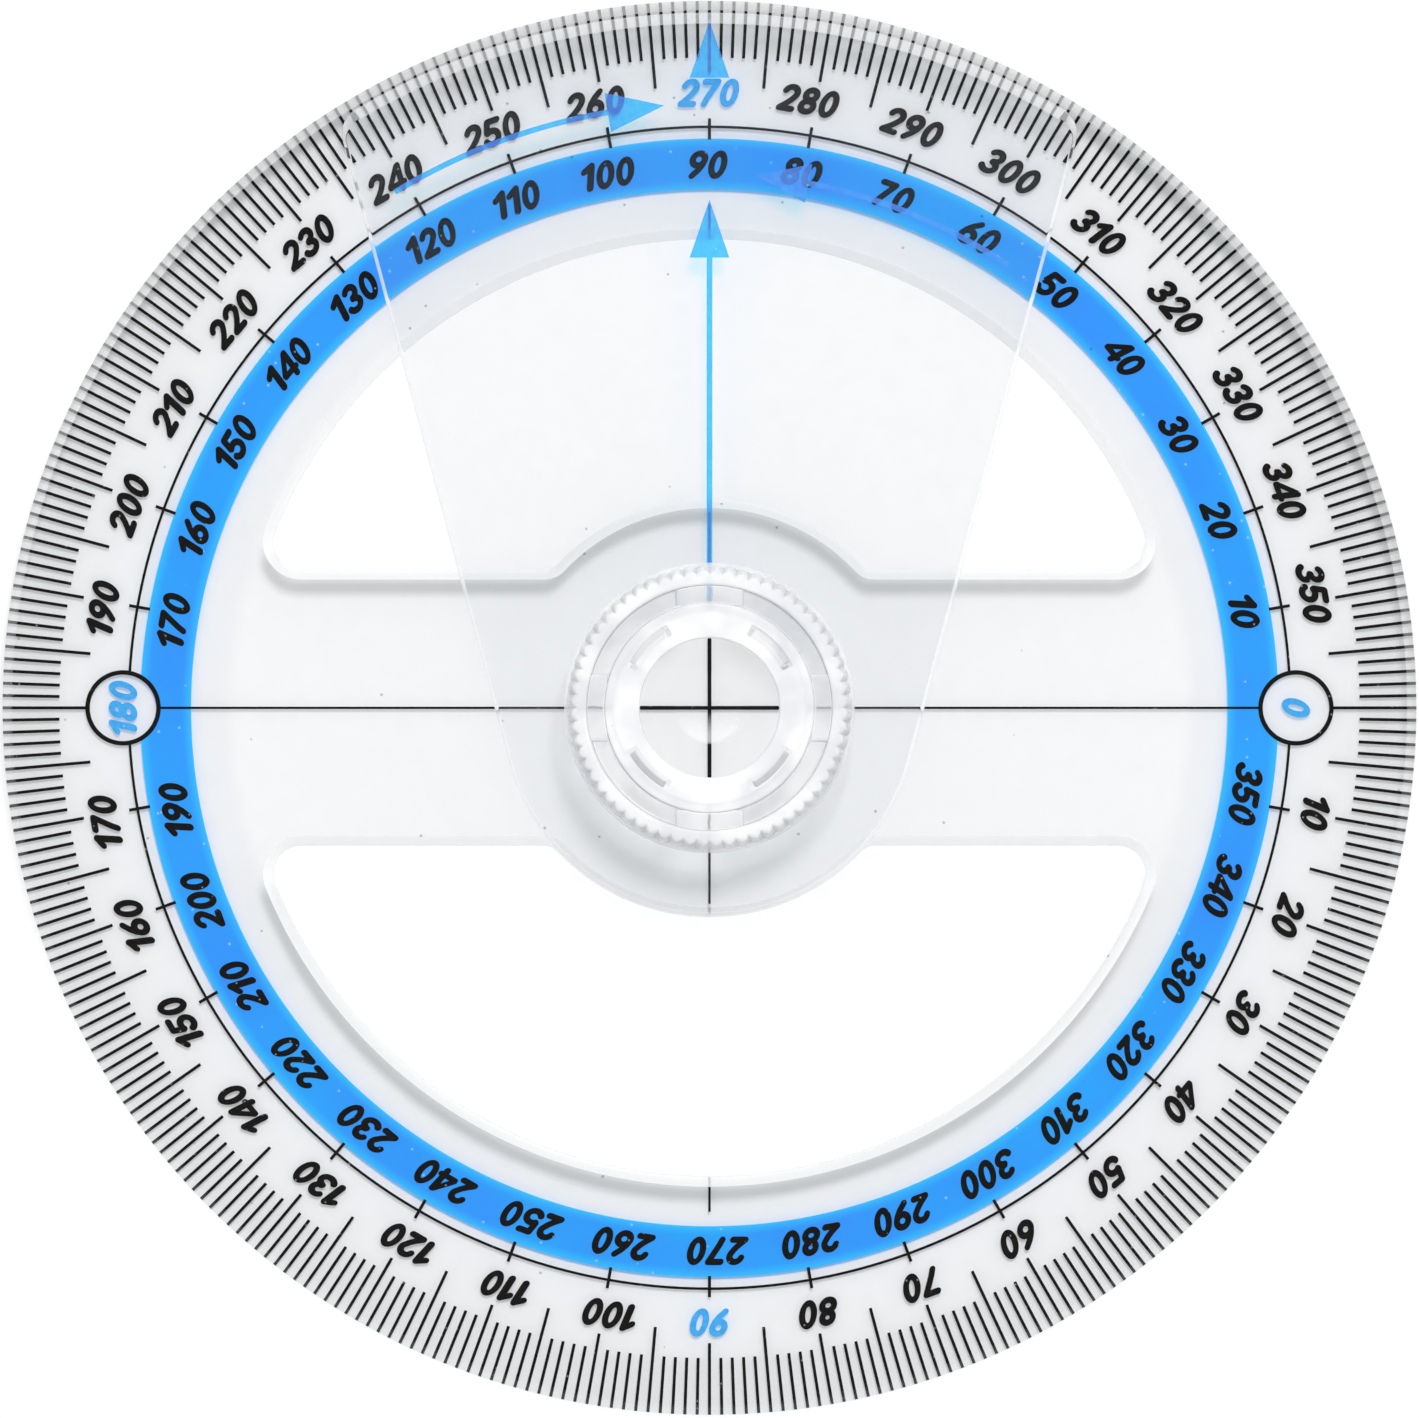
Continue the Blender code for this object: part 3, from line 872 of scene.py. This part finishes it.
def translucent_ink(name, colours, film_colour, share, shadow_colour, patch_scale, edge_highlight_share):
    """Ink that lets part of the light through: its own patchy colour over a tinted clear film.

    By the edge share its colour is painted paler along the two edges of the blue band, a painted highlight.
    """
    nodes = Nodes(name)
    shader = nodes.shader
    shader.inputs["Roughness"].default_value = FILM_ROUGHNESS
    shader.inputs["Specular IOR Level"].default_value = INK_GLOSS
    uneven = nodes.ranged(nodes.noise(patch_scale, 8.0), *PATCH_RANGE, 0.0, 1.0)
    dots = nodes.ranged(nodes.cells(DOT_CELLS), *DOT_SIZE, DOT_SHARE, 0.0)
    patchy = nodes.mixed(uneven, *colours)
    radius = radius_from_axis(nodes)
    band_in, band_out = BAND_R
    # Painted highlight: the band's colour turns paler across its two edges
    inner = nodes.ranged(radius, band_in * MM, (band_in + BAND_EDGE_W) * MM, edge_highlight_share, 0.0)
    outer = nodes.ranged(radius, (band_out - BAND_EDGE_W) * MM, band_out * MM, 0.0, edge_highlight_share)
    highlighted_edges = nodes.mixed(nodes.maths("MAXIMUM", inner, outer), patchy, BAND_EDGE_PAINTED_HIGHLIGHT)
    nodes.link(nodes.mixed(dots, highlighted_edges, DOT_BLUE), shader.inputs["Base Color"])
    behind = nodes.add("ShaderNodeNewGeometry").outputs["Backfacing"]
    film = nodes.add("ShaderNodeBsdfTransparent")
    nodes.link(nodes.mixed(behind, film_colour, (1.0, 1.0, 1.0)), film.inputs["Color"])
    laid = nodes.ranged(behind, 0.0, 1.0, share, 0.0)
    body = nodes.shader_mix(laid, film.outputs["BSDF"], shader.outputs["BSDF"])
    shadow = nodes.add("ShaderNodeBsdfTransparent")
    nodes.link(nodes.mixed(behind, shadow_colour, (1.0, 1.0, 1.0)), shadow.inputs["Color"])
    path = nodes.add("ShaderNodeLightPath")
    body = nodes.shader_mix(path.outputs["Is Shadow Ray"], body, shadow.outputs["BSDF"])
    nodes.link(body, nodes.output.inputs["Surface"])
    return nodes.material


def paper(name):
    """The plain pale floor."""
    nodes = Nodes(name)
    shader = nodes.shader
    shader.inputs["Roughness"].default_value = PAPER_ROUGHNESS
    shader.inputs["Specular IOR Level"].default_value = PAPER_GLOSS
    grain = nodes.ranged(nodes.noise(PAPER_GRAIN, 4.0), 0.3, 0.7, 0.0, 1.0)
    nodes.link(nodes.mixed(grain, *PAPER_COLOURS), shader.inputs["Base Color"])
    return nodes.material


# Mouldings


def add_post(bm, middle):
    """One snap post, and the slot under its lip. Returns their rows on the plate's two faces."""
    lip_z = POST_TOP - LIP_T
    line = [
        (POST_R_OUT, DISC_T),
        (POST_R_OUT, lip_z),
        (LIP_R, lip_z),
        (LIP_R, lip_z + LIP_T / 2),
        (LIP_R - LIP_LEAD_IN, POST_TOP),
        (POST_R_OUT - POST_EDGE, POST_TOP),
    ]
    rings = []
    for r_out, z in rounded(line, EDGE_R):
        outline = patch_outline(POST_R_IN, r_out, middle, POST_SPAN, POST_CORNER)
        rings.append([(x, y, z) for x, y in outline])
    rows = loft(bm, rings)
    cap(bm, [rows[-1]])
    slot = patch_outline(SLOT_R_IN, SLOT_R_OUT, middle, POST_SPAN, POST_CORNER)
    slot_rows = loft(bm, [[(x, y, z) for x, y in slot] for z in (0.0, DISC_T)])
    return rows[0], slot_rows[0], slot_rows[1]


def add_dimple(bm):
    """The shallow gate dimple in the middle of the plate. Returns its outer row."""
    ball_r = (DIMPLE_R**2 + DIMPLE_DEPTH**2) / (2 * DIMPLE_DEPTH)
    line = [(DIMPLE_R + 2 * EDGE_R, DISC_T)]
    for i in range(DIMPLE_RINGS, 0, -1):
        radius = DIMPLE_R * i / DIMPLE_RINGS
        line.append((radius, DISC_T - DIMPLE_DEPTH + ball_r - math.sqrt(ball_r**2 - radius**2)))
    rings = [[(x, y, z) for x, y in circle(radius, DIMPLE_SIDES)] for radius, z in line]
    rows = loft(bm, rings)
    cap(bm, [rows[-1]])
    return rows[0]


def make_dial(material):
    bm = bmesh.new()
    profile = plate_profile(0.0, DISC_T, DISC_CHAMFER)
    rim = wall(bm, lambda offset: circle(DISC_R - offset, RIM_SIDES), profile)
    upper = wall(bm, opening_outline, profile)
    lower = wall(bm, lower_opening_outline, profile)
    below = [rim[0], upper[0], lower[0]]
    above = [rim[1], upper[1], lower[1], add_dimple(bm)]
    for middle in DIAGONALS:
        post, slot_low, slot_high = add_post(bm, middle)
        below.append(slot_low)
        above += [post, slot_high]
    cap(bm, below)
    cap(bm, above)
    return mesh_object("dial_plate", bm, material)


def make_arm(material):
    bm = bmesh.new()
    side = plate_profile(ARM_Z, ARM_TOP, ARM_CHAMFER)
    tip = rounded(
        [
            (SUPPORT + EDGE_R, ARM_Z),
            (0.0, ARM_Z),
            (0.0, ARM_Z + ARM_TIP_LAND),
            (ARM_TIP_CHAMFER, ARM_TOP),
            (ARM_TIP_CHAMFER + EDGE_R + SUPPORT, ARM_TOP),
        ],
        EDGE_R,
    )
    shares = arm_tip_share()
    rings = []
    for (side_in, side_z), (tip_in, tip_z) in zip(side, tip):
        ring = []
        for a, b, share in zip(arm_outline(side_in), arm_outline(tip_in), shares):
            x = a[0] + (b[0] - a[0]) * share
            y = a[1] + (b[1] - a[1]) * share
            ring.append((x, y, side_z + (tip_z - side_z) * share))
        rings.append(ring)
    edge = loft(bm, rings)
    bore = wall(bm, arm_bore_outline, plate_profile(ARM_Z, ARM_TOP, BORE_CHAMFER))
    cap(bm, [edge[0], bore[0]])
    cap(bm, [edge[-1], bore[1]])
    return mesh_object("pointer_arm", bm, material)


def knurl_share(radius, z):
    """How much of the knurl's depth is cut at a point of the knob's section."""
    rise = min(max((z - KNOB_Z - FLANGE_T) / KNURL_RISE, 0.0), 1.0)
    across = min(max((radius - KNURL_FADE[0]) / (KNURL_FADE[1] - KNURL_FADE[0]), 0.0), 1.0)
    return rise * across


def knob_ring(radius, z):
    """One ring of the knob: a circle, or a ring of rounded lobes where the knurl is cut."""
    count = GRIP_LOBES * LOBE_STEPS
    depth = GRIP_DEPTH * knurl_share(radius, z)
    points = []
    for i in range(count):
        lobe = abs(math.sin(math.pi * i / LOBE_STEPS))
        x, y = polar(radius - depth * (1.0 - lobe), 360.0 * i / count)
        points.append((x, y, z))
    return points


def add_prism(bm, outline, z_low, z_high):
    rows = loft(bm, [[(x, y, z) for x, y in outline] for z in (z_low, z_high)])
    cap(bm, [rows[0]])
    cap(bm, [rows[1]])


def add_spoke(bm, middle):
    """A bridge with a rounded top, across the trough from the tube to the grip wall."""
    foot = TROUGH_Z - SPOKE_ROOT
    section = rounded(
        [(-SPOKE_HALF, foot), (SPOKE_HALF, foot), (SPOKE_HALF, SPOKE_TOP), (-SPOKE_HALF, SPOKE_TOP)],
        [SPOKE_FOOT_EDGE, SPOKE_FOOT_EDGE, SPOKE_TOP_EDGE, SPOKE_TOP_EDGE],
        closed=True,
    )
    turn = Matrix.Rotation(math.radians(middle), 4, "Z")
    rings = []
    for radius in (SPOKE_R_IN, SPOKE_R_OUT):
        rings.append([turn @ Matrix.Translation((radius, y, z)).to_translation() for y, z in section])
    rows = loft(bm, rings)
    for row in rows:
        bm.faces.new(row)


def make_knob(material):
    """The knob turned from its section, whose corners are radius, height and rounding."""
    corners = [
        (LEDGE_R, KNOB_Z, 0.08),
        (KNOB_R, KNOB_Z, 0.12),
        (KNOB_R, KNOB_Z + FLANGE_T, 0.12),
        (GRIP_R, KNOB_Z + FLANGE_T, 0.06),
        (GRIP_R - GRIP_DRAFT, KNOB_TOP, 0.45),
        (GRIP_R_IN, KNOB_TOP, 0.30),
        (GRIP_R_IN, TROUGH_Z, 0.25),
        (TUBE_R, TROUGH_Z, 0.25),
        (TUBE_R, CAP_TOP, 0.20),
        (SIGHT_R, CAP_TOP, 0.20),
        (SIGHT_R, CAP_Z, 0.08),
        (CAVITY_R, CAP_Z, 0.20),
        (CAVITY_R, LEDGE_TOP, 0.10),
        (LEDGE_R, LEDGE_TOP, 0.08),
    ]
    section = rounded([(r, z) for r, z, _ in corners], [edge for _, _, edge in corners], closed=True)
    bm = bmesh.new()
    loft(bm, [knob_ring(radius, z) for radius, z in section], closed_section=True)

    added = bmesh.new()
    for middle in QUARTERS:
        add_spoke(added, middle)
        lug = patch_outline(LUG_R_IN, LUG_R_OUT, middle, LUG_SPAN, POST_CORNER)
        add_prism(added, lug, LUG_Z, KNOB_Z + LUG_ROOT)
    bm = combined(bm, added, "UNION")

    windows = bmesh.new()
    for middle in DIAGONALS:
        window = patch_outline(WINDOW_R_IN, WINDOW_R_OUT, middle, WINDOW_SPAN, POST_CORNER)
        add_prism(windows, window, CAP_Z - CUT_OVER, CAP_TOP + CUT_OVER)
    bm = combined(bm, windows, "DIFFERENCE")
    return mesh_object("knurled_grip", bm, material)


# Print


def radial_line(radius_in, radius_out, degrees, width):
    """A straight line along a radius, as a loop."""
    half = width / 2
    turn = math.radians(degrees)
    corners = [(radius_in, -half), (radius_out, -half), (radius_out, half), (radius_in, half)]
    cos, sin = math.cos(turn), math.sin(turn)
    return [(r * cos - s * sin, r * sin + s * cos) for r, s in corners]


def ring_stretch(r_in, r_out, start, end, count):
    """A stretch of a ring, as a loop."""
    return arc((0.0, 0.0), r_in, start, end, count) + arc((0.0, 0.0), r_out, end, start, count)


def circle_gap(radius):
    """Half the angle that a zero circle takes out of a ring of this radius."""
    inside = ZERO_CIRCLE_R - ZERO_CIRCLE_W / 2
    return math.degrees(math.acos((radius**2 + ZERO_R**2 - inside**2) / (2 * radius * ZERO_R)))


def ink_object(name, loops, levels, material, body):
    return printed(mesh_object(name, flat_mesh(loops, *levels), material), body)


def printed(obj, body):
    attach(obj, body)
    return obj


def band_loops():
    """The blue band: its outer edge runs round the zero circles."""
    r_in, r_out = BAND_R
    inside = ZERO_CIRCLE_R - ZERO_CIRCLE_W / 2
    gap = circle_gap(r_out)
    corner = polar(r_out, gap)
    bite = math.degrees(math.atan2(corner[1], ZERO_R - corner[0]))
    outer = []
    for side in (0.0, 180.0):
        outer += arc((0.0, 0.0), r_out, side + gap, side + 180.0 - gap, BAND_STEPS)
        opposite = polar(ZERO_R, side + 180.0)
        outer += arc(opposite, inside, side + bite, side - bite, BITE_STEPS)[1:-1]
    return [outer, circle(r_in, RIM_SIDES)]


def make_scales(black, blue):
    """Everything printed under the dial."""
    ticks = []
    for degrees in range(360):
        step = 10 if degrees % 10 == 0 else 5 if degrees % 5 == 0 else 1
        r_in = TICK_R_IN[step]
        if degrees % 180 == 0:
            r_in = ZERO_R + ZERO_CIRCLE_R - ZERO_CIRCLE_W / 2
        ticks.append(radial_line(r_in, TICK_R_OUT, degrees, TICK_W))
    ink_object("degree_ticks", ticks, BLACK_Z, black, "dial")

    gap = circle_gap(RING_R)
    half = RING_W / 2
    arcs = []
    for side in (0.0, 180.0):
        start, end = side + gap, side + 180.0 - gap
        arcs.append(ring_stretch(RING_R - half, RING_R + half, start, end, RING_LINE_STEPS))
    ink_object("ring_line", arcs, CROSSING_Z, black, "dial")
    crossings = [radial_line(*RING_TICK_R, d, TICK_W) for d in range(0, 360, 10) if d % 180]
    ink_object("ring_ticks", crossings, BLACK_Z, black, "dial")

    circles = []
    for side in (0.0, 180.0):
        middle = polar(ZERO_R, side)
        for radius in (ZERO_CIRCLE_R, ZERO_CIRCLE_R - ZERO_CIRCLE_W):
            circles.append(arc(middle, radius, 0.0, 360.0, ZERO_CIRCLE_STEPS)[:-1])
    ink_object("zero_circles", circles, BLACK_Z, black, "dial")

    circle_edge = ZERO_R - ZERO_CIRCLE_R + ZERO_CIRCLE_W / 2
    base_line = [radial_line(CROSS_R, circle_edge, side, HAIR_W) for side in (0.0, 180.0)]
    ink_object("base_line", base_line, CROSSING_Z, black, "dial")
    upright = [radial_line(CROSS_R, CROSS_LINE_R, side, HAIR_W) for side in (90.0, 270.0)]
    upright += [radial_line(*EDGE_MARK_R, side, HAIR_W) for side in (90.0, 270.0)]
    ink_object("upright_line", upright, CROSSING_Z, black, "dial")
    cross = []
    for side in QUARTERS:
        near = polar(CROSS_W / math.sqrt(2), side - 45.0)
        line = radial_line(CROSS_W / 2, CROSS_R, side, CROSS_W)
        cross += [near, line[1], line[2]]
    ink_object("centre_cross", [cross], BLACK_Z, black, "dial")

    ink_object("blue_band", band_loops(), BLUE_Z, blue, "dial")


def make_numbers(black, blue):
    meshes = {figure: figure_mesh(figure) for figure in "0123456789"}
    sets = {"outer_figures": bmesh.new(), "quarter_figures": bmesh.new(), "inner_figures": bmesh.new()}
    for degrees in range(0, 360, 10):
        quarter = degrees % 90 == 0
        in_circle = degrees % 180 == 0
        target = sets["quarter_figures" if quarter else "outer_figures"]
        text = str((360 - degrees) % 360)
        radius = ZERO_R if in_circle else OUTER_FIGURES_R
        shift = 0.0 if quarter else NUMBER_SHIFT[len(text)]
        add_number(target, meshes, text, radius, degrees, shift)
        if not in_circle:
            text = str(degrees)
            add_number(sets["inner_figures"], meshes, text, INNER_FIGURES_R, degrees, NUMBER_SHIFT[len(text)])
    for name, bm in sets.items():
        quarter = name == "quarter_figures"
        obj = mesh_object(name, bm, blue if quarter else black)
        printed(obj, "dial")
    for mesh in meshes.values():
        bpy.data.meshes.remove(mesh)


def curved_arrow(radius, start, base, tip):
    """An arrow along an arc, with a straight-sided head, as a loop."""
    half = ARROW_W / 2
    head = ARROW_HEAD_W / 2
    inner = arc((0.0, 0.0), radius - half, start, base, SWEEP_STEPS)
    outer = arc((0.0, 0.0), radius + half, base, start, SWEEP_STEPS)
    point = [polar(radius - head, base), polar(radius, tip), polar(radius + head, base)]
    return inner + point + outer


def make_arrows(ink):
    """Everything printed under the arm."""
    half = ARROW_W / 2
    head = ARROW_HEAD_W / 2
    start, base = SHAFT_R
    straight = [
        (half, start),
        (half, base),
        (head, base),
        (0.0, SHAFT_TIP_R),
        (-head, base),
        (-half, base),
        (-half, start),
    ]
    low, high = TIP_HEAD_R
    pointer = [(head, low), (0.0, high), (-head, low)]
    ink_object("pointer_arrows", [straight, pointer], ARM_INK_Z, ink, "arm")
    sweeps = [curved_arrow(*OUTER_SWEEP), curved_arrow(*INNER_SWEEP)]
    ink_object("turning_arrows", sweeps, ARM_INK_Z, ink, "arm")


# Studio, whose lamp, room and camera are in metres

FLOOR_DROP = 0.4
FLOOR_HALF = 3000.0
LAMP_SIZE = 0.62
LAMP_POWER = 48.5
LAMP_COLOUR = (1.0, 0.99, 0.97)
LAMP_DISTANCE = 2.5
LAMP_ELEVATION = math.radians(66.0)
LAMP_SIDE = 0.25
ROOM_STOPS = ((0.0, (0.80, 0.80, 0.81)), (0.80, (0.95, 0.95, 0.96)), (0.97, (0.22, 0.22, 0.23)))
ROOM_STRENGTH = 0.67
LENS = 358.3
CAMERA_Y = -0.00008
CAMERA_Z = 1.0


def make_floor():
    bm = bmesh.new()
    bmesh.ops.create_grid(bm, x_segments=2, y_segments=2, size=FLOOR_HALF)
    bmesh.ops.translate(bm, verts=bm.verts, vec=(0.0, 0.0, -FLOOR_DROP))
    floor = mesh_object("floor", bm, paper("pale_paper"))


def make_light():
    """One softbox above the far edge, and an even pale room that is darker straight overhead."""
    lamp = bpy.data.lights.new("softbox", "AREA")
    lamp.shape = "SQUARE"
    lamp.size = LAMP_SIZE
    lamp.energy = LAMP_POWER
    lamp.color = LAMP_COLOUR
    softbox = bpy.data.objects.new("softbox", lamp)
    away = LAMP_DISTANCE * math.cos(LAMP_ELEVATION)
    height = LAMP_DISTANCE * math.sin(LAMP_ELEVATION)
    softbox.location = (LAMP_SIDE, away, height)
    softbox.rotation_euler = softbox.location.to_track_quat("Z", "Y").to_euler()
    softbox.visible_glossy = False
    softbox.visible_transmission = False
    bpy.context.scene.collection.objects.link(softbox)

    world = bpy.data.worlds.new("room")
    world.use_nodes = True
    tree = world.node_tree
    background = tree.nodes["Background"]
    place = tree.nodes.new("ShaderNodeTexCoord")
    split = tree.nodes.new("ShaderNodeSeparateXYZ")
    ramp = tree.nodes.new("ShaderNodeValToRGB")
    stops = ramp.color_ramp.elements
    stops.new(ROOM_STOPS[1][0])
    for stop, (position, colour) in zip(stops, ROOM_STOPS):
        stop.position = position
        stop.color = (*colour, 1.0)
    tree.links.new(place.outputs["Generated"], split.inputs["Vector"])
    tree.links.new(split.outputs["Z"], ramp.inputs["Fac"])
    tree.links.new(ramp.outputs["Color"], background.inputs["Color"])
    background.inputs["Strength"].default_value = ROOM_STRENGTH
    bpy.context.scene.world = world


def make_camera():
    """Straight down, from one metre up."""
    camera = bpy.data.cameras.new("camera")
    camera.sensor_width = 36.0
    camera.lens = LENS
    camera.clip_start = 0.05
    camera.clip_end = 20.0
    obj = bpy.data.objects.new("camera", camera)
    obj.location = (0.0, CAMERA_Y, CAMERA_Z)
    bpy.context.scene.collection.objects.link(obj)
    bpy.context.scene.camera = obj


def main():
    bpy.context.scene.view_settings.view_transform = "Standard"
    dial_clear = clear_plastic(
        "dial_clear",
        DIAL_TINT,
        DIAL_RING_TINT,
        haze=SCUFF_ROUGHNESS,
        lit=(0.45, 0.92, 1.0),
        cloudy_z=POST_CLOUDY,
    )
    dial = make_dial(dial_clear)
    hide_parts("dial_disc")
    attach(dial, "dial")

    arm_clear = clear_plastic(
        "arm_clear",
        ARM_TINT,
        ARM_TINT,
        haze=SCUFF_ROUGHNESS,
        lit=(0.75, 0.85, 1.0),
        cloudy_z=NEVER_CLOUDY,
    )
    arm = make_arm(arm_clear)
    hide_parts("swing_arm")
    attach(arm, "arm")

    knob_clear = clear_plastic(
        "knob_clear",
        KNOB_TINT,
        KNOB_TINT,
        haze=KNOB_ROUGHNESS,
        lit=(0.80, 0.68, 0.52),
        cloudy_z=KNOB_CLOUDY,
    )
    knob = make_knob(knob_clear)
    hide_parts("grip_knob")
    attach(knob, "arm")

    black = printed_ink("black_ink", BLACK, WORN_BLACK)
    light_blue = printed_ink("light_blue_ink", LIGHT_BLUE, WORN_BLUE)
    blue = translucent_ink(
        "blue_ink",
        BAND_BLUES,
        film_colour=(0.05, 0.60, 1.0),
        share=0.82,
        shadow_colour=(0.05, 0.3, 0.6),
        patch_scale=90.0,
        edge_highlight_share=0.7,
    )
    arrow_ink = translucent_ink(
        "arrow_ink",
        ARROW_BLUES,
        film_colour=(0.04, 1.0, 0.90),
        share=0.60,
        shadow_colour=(0.62, 0.92, 0.98),
        patch_scale=1500.0,
        edge_highlight_share=0.0,
    )
    make_scales(black, blue)
    make_numbers(black, light_blue)
    make_arrows(arrow_ink)

    make_floor()
    make_light()
    make_camera()


main()
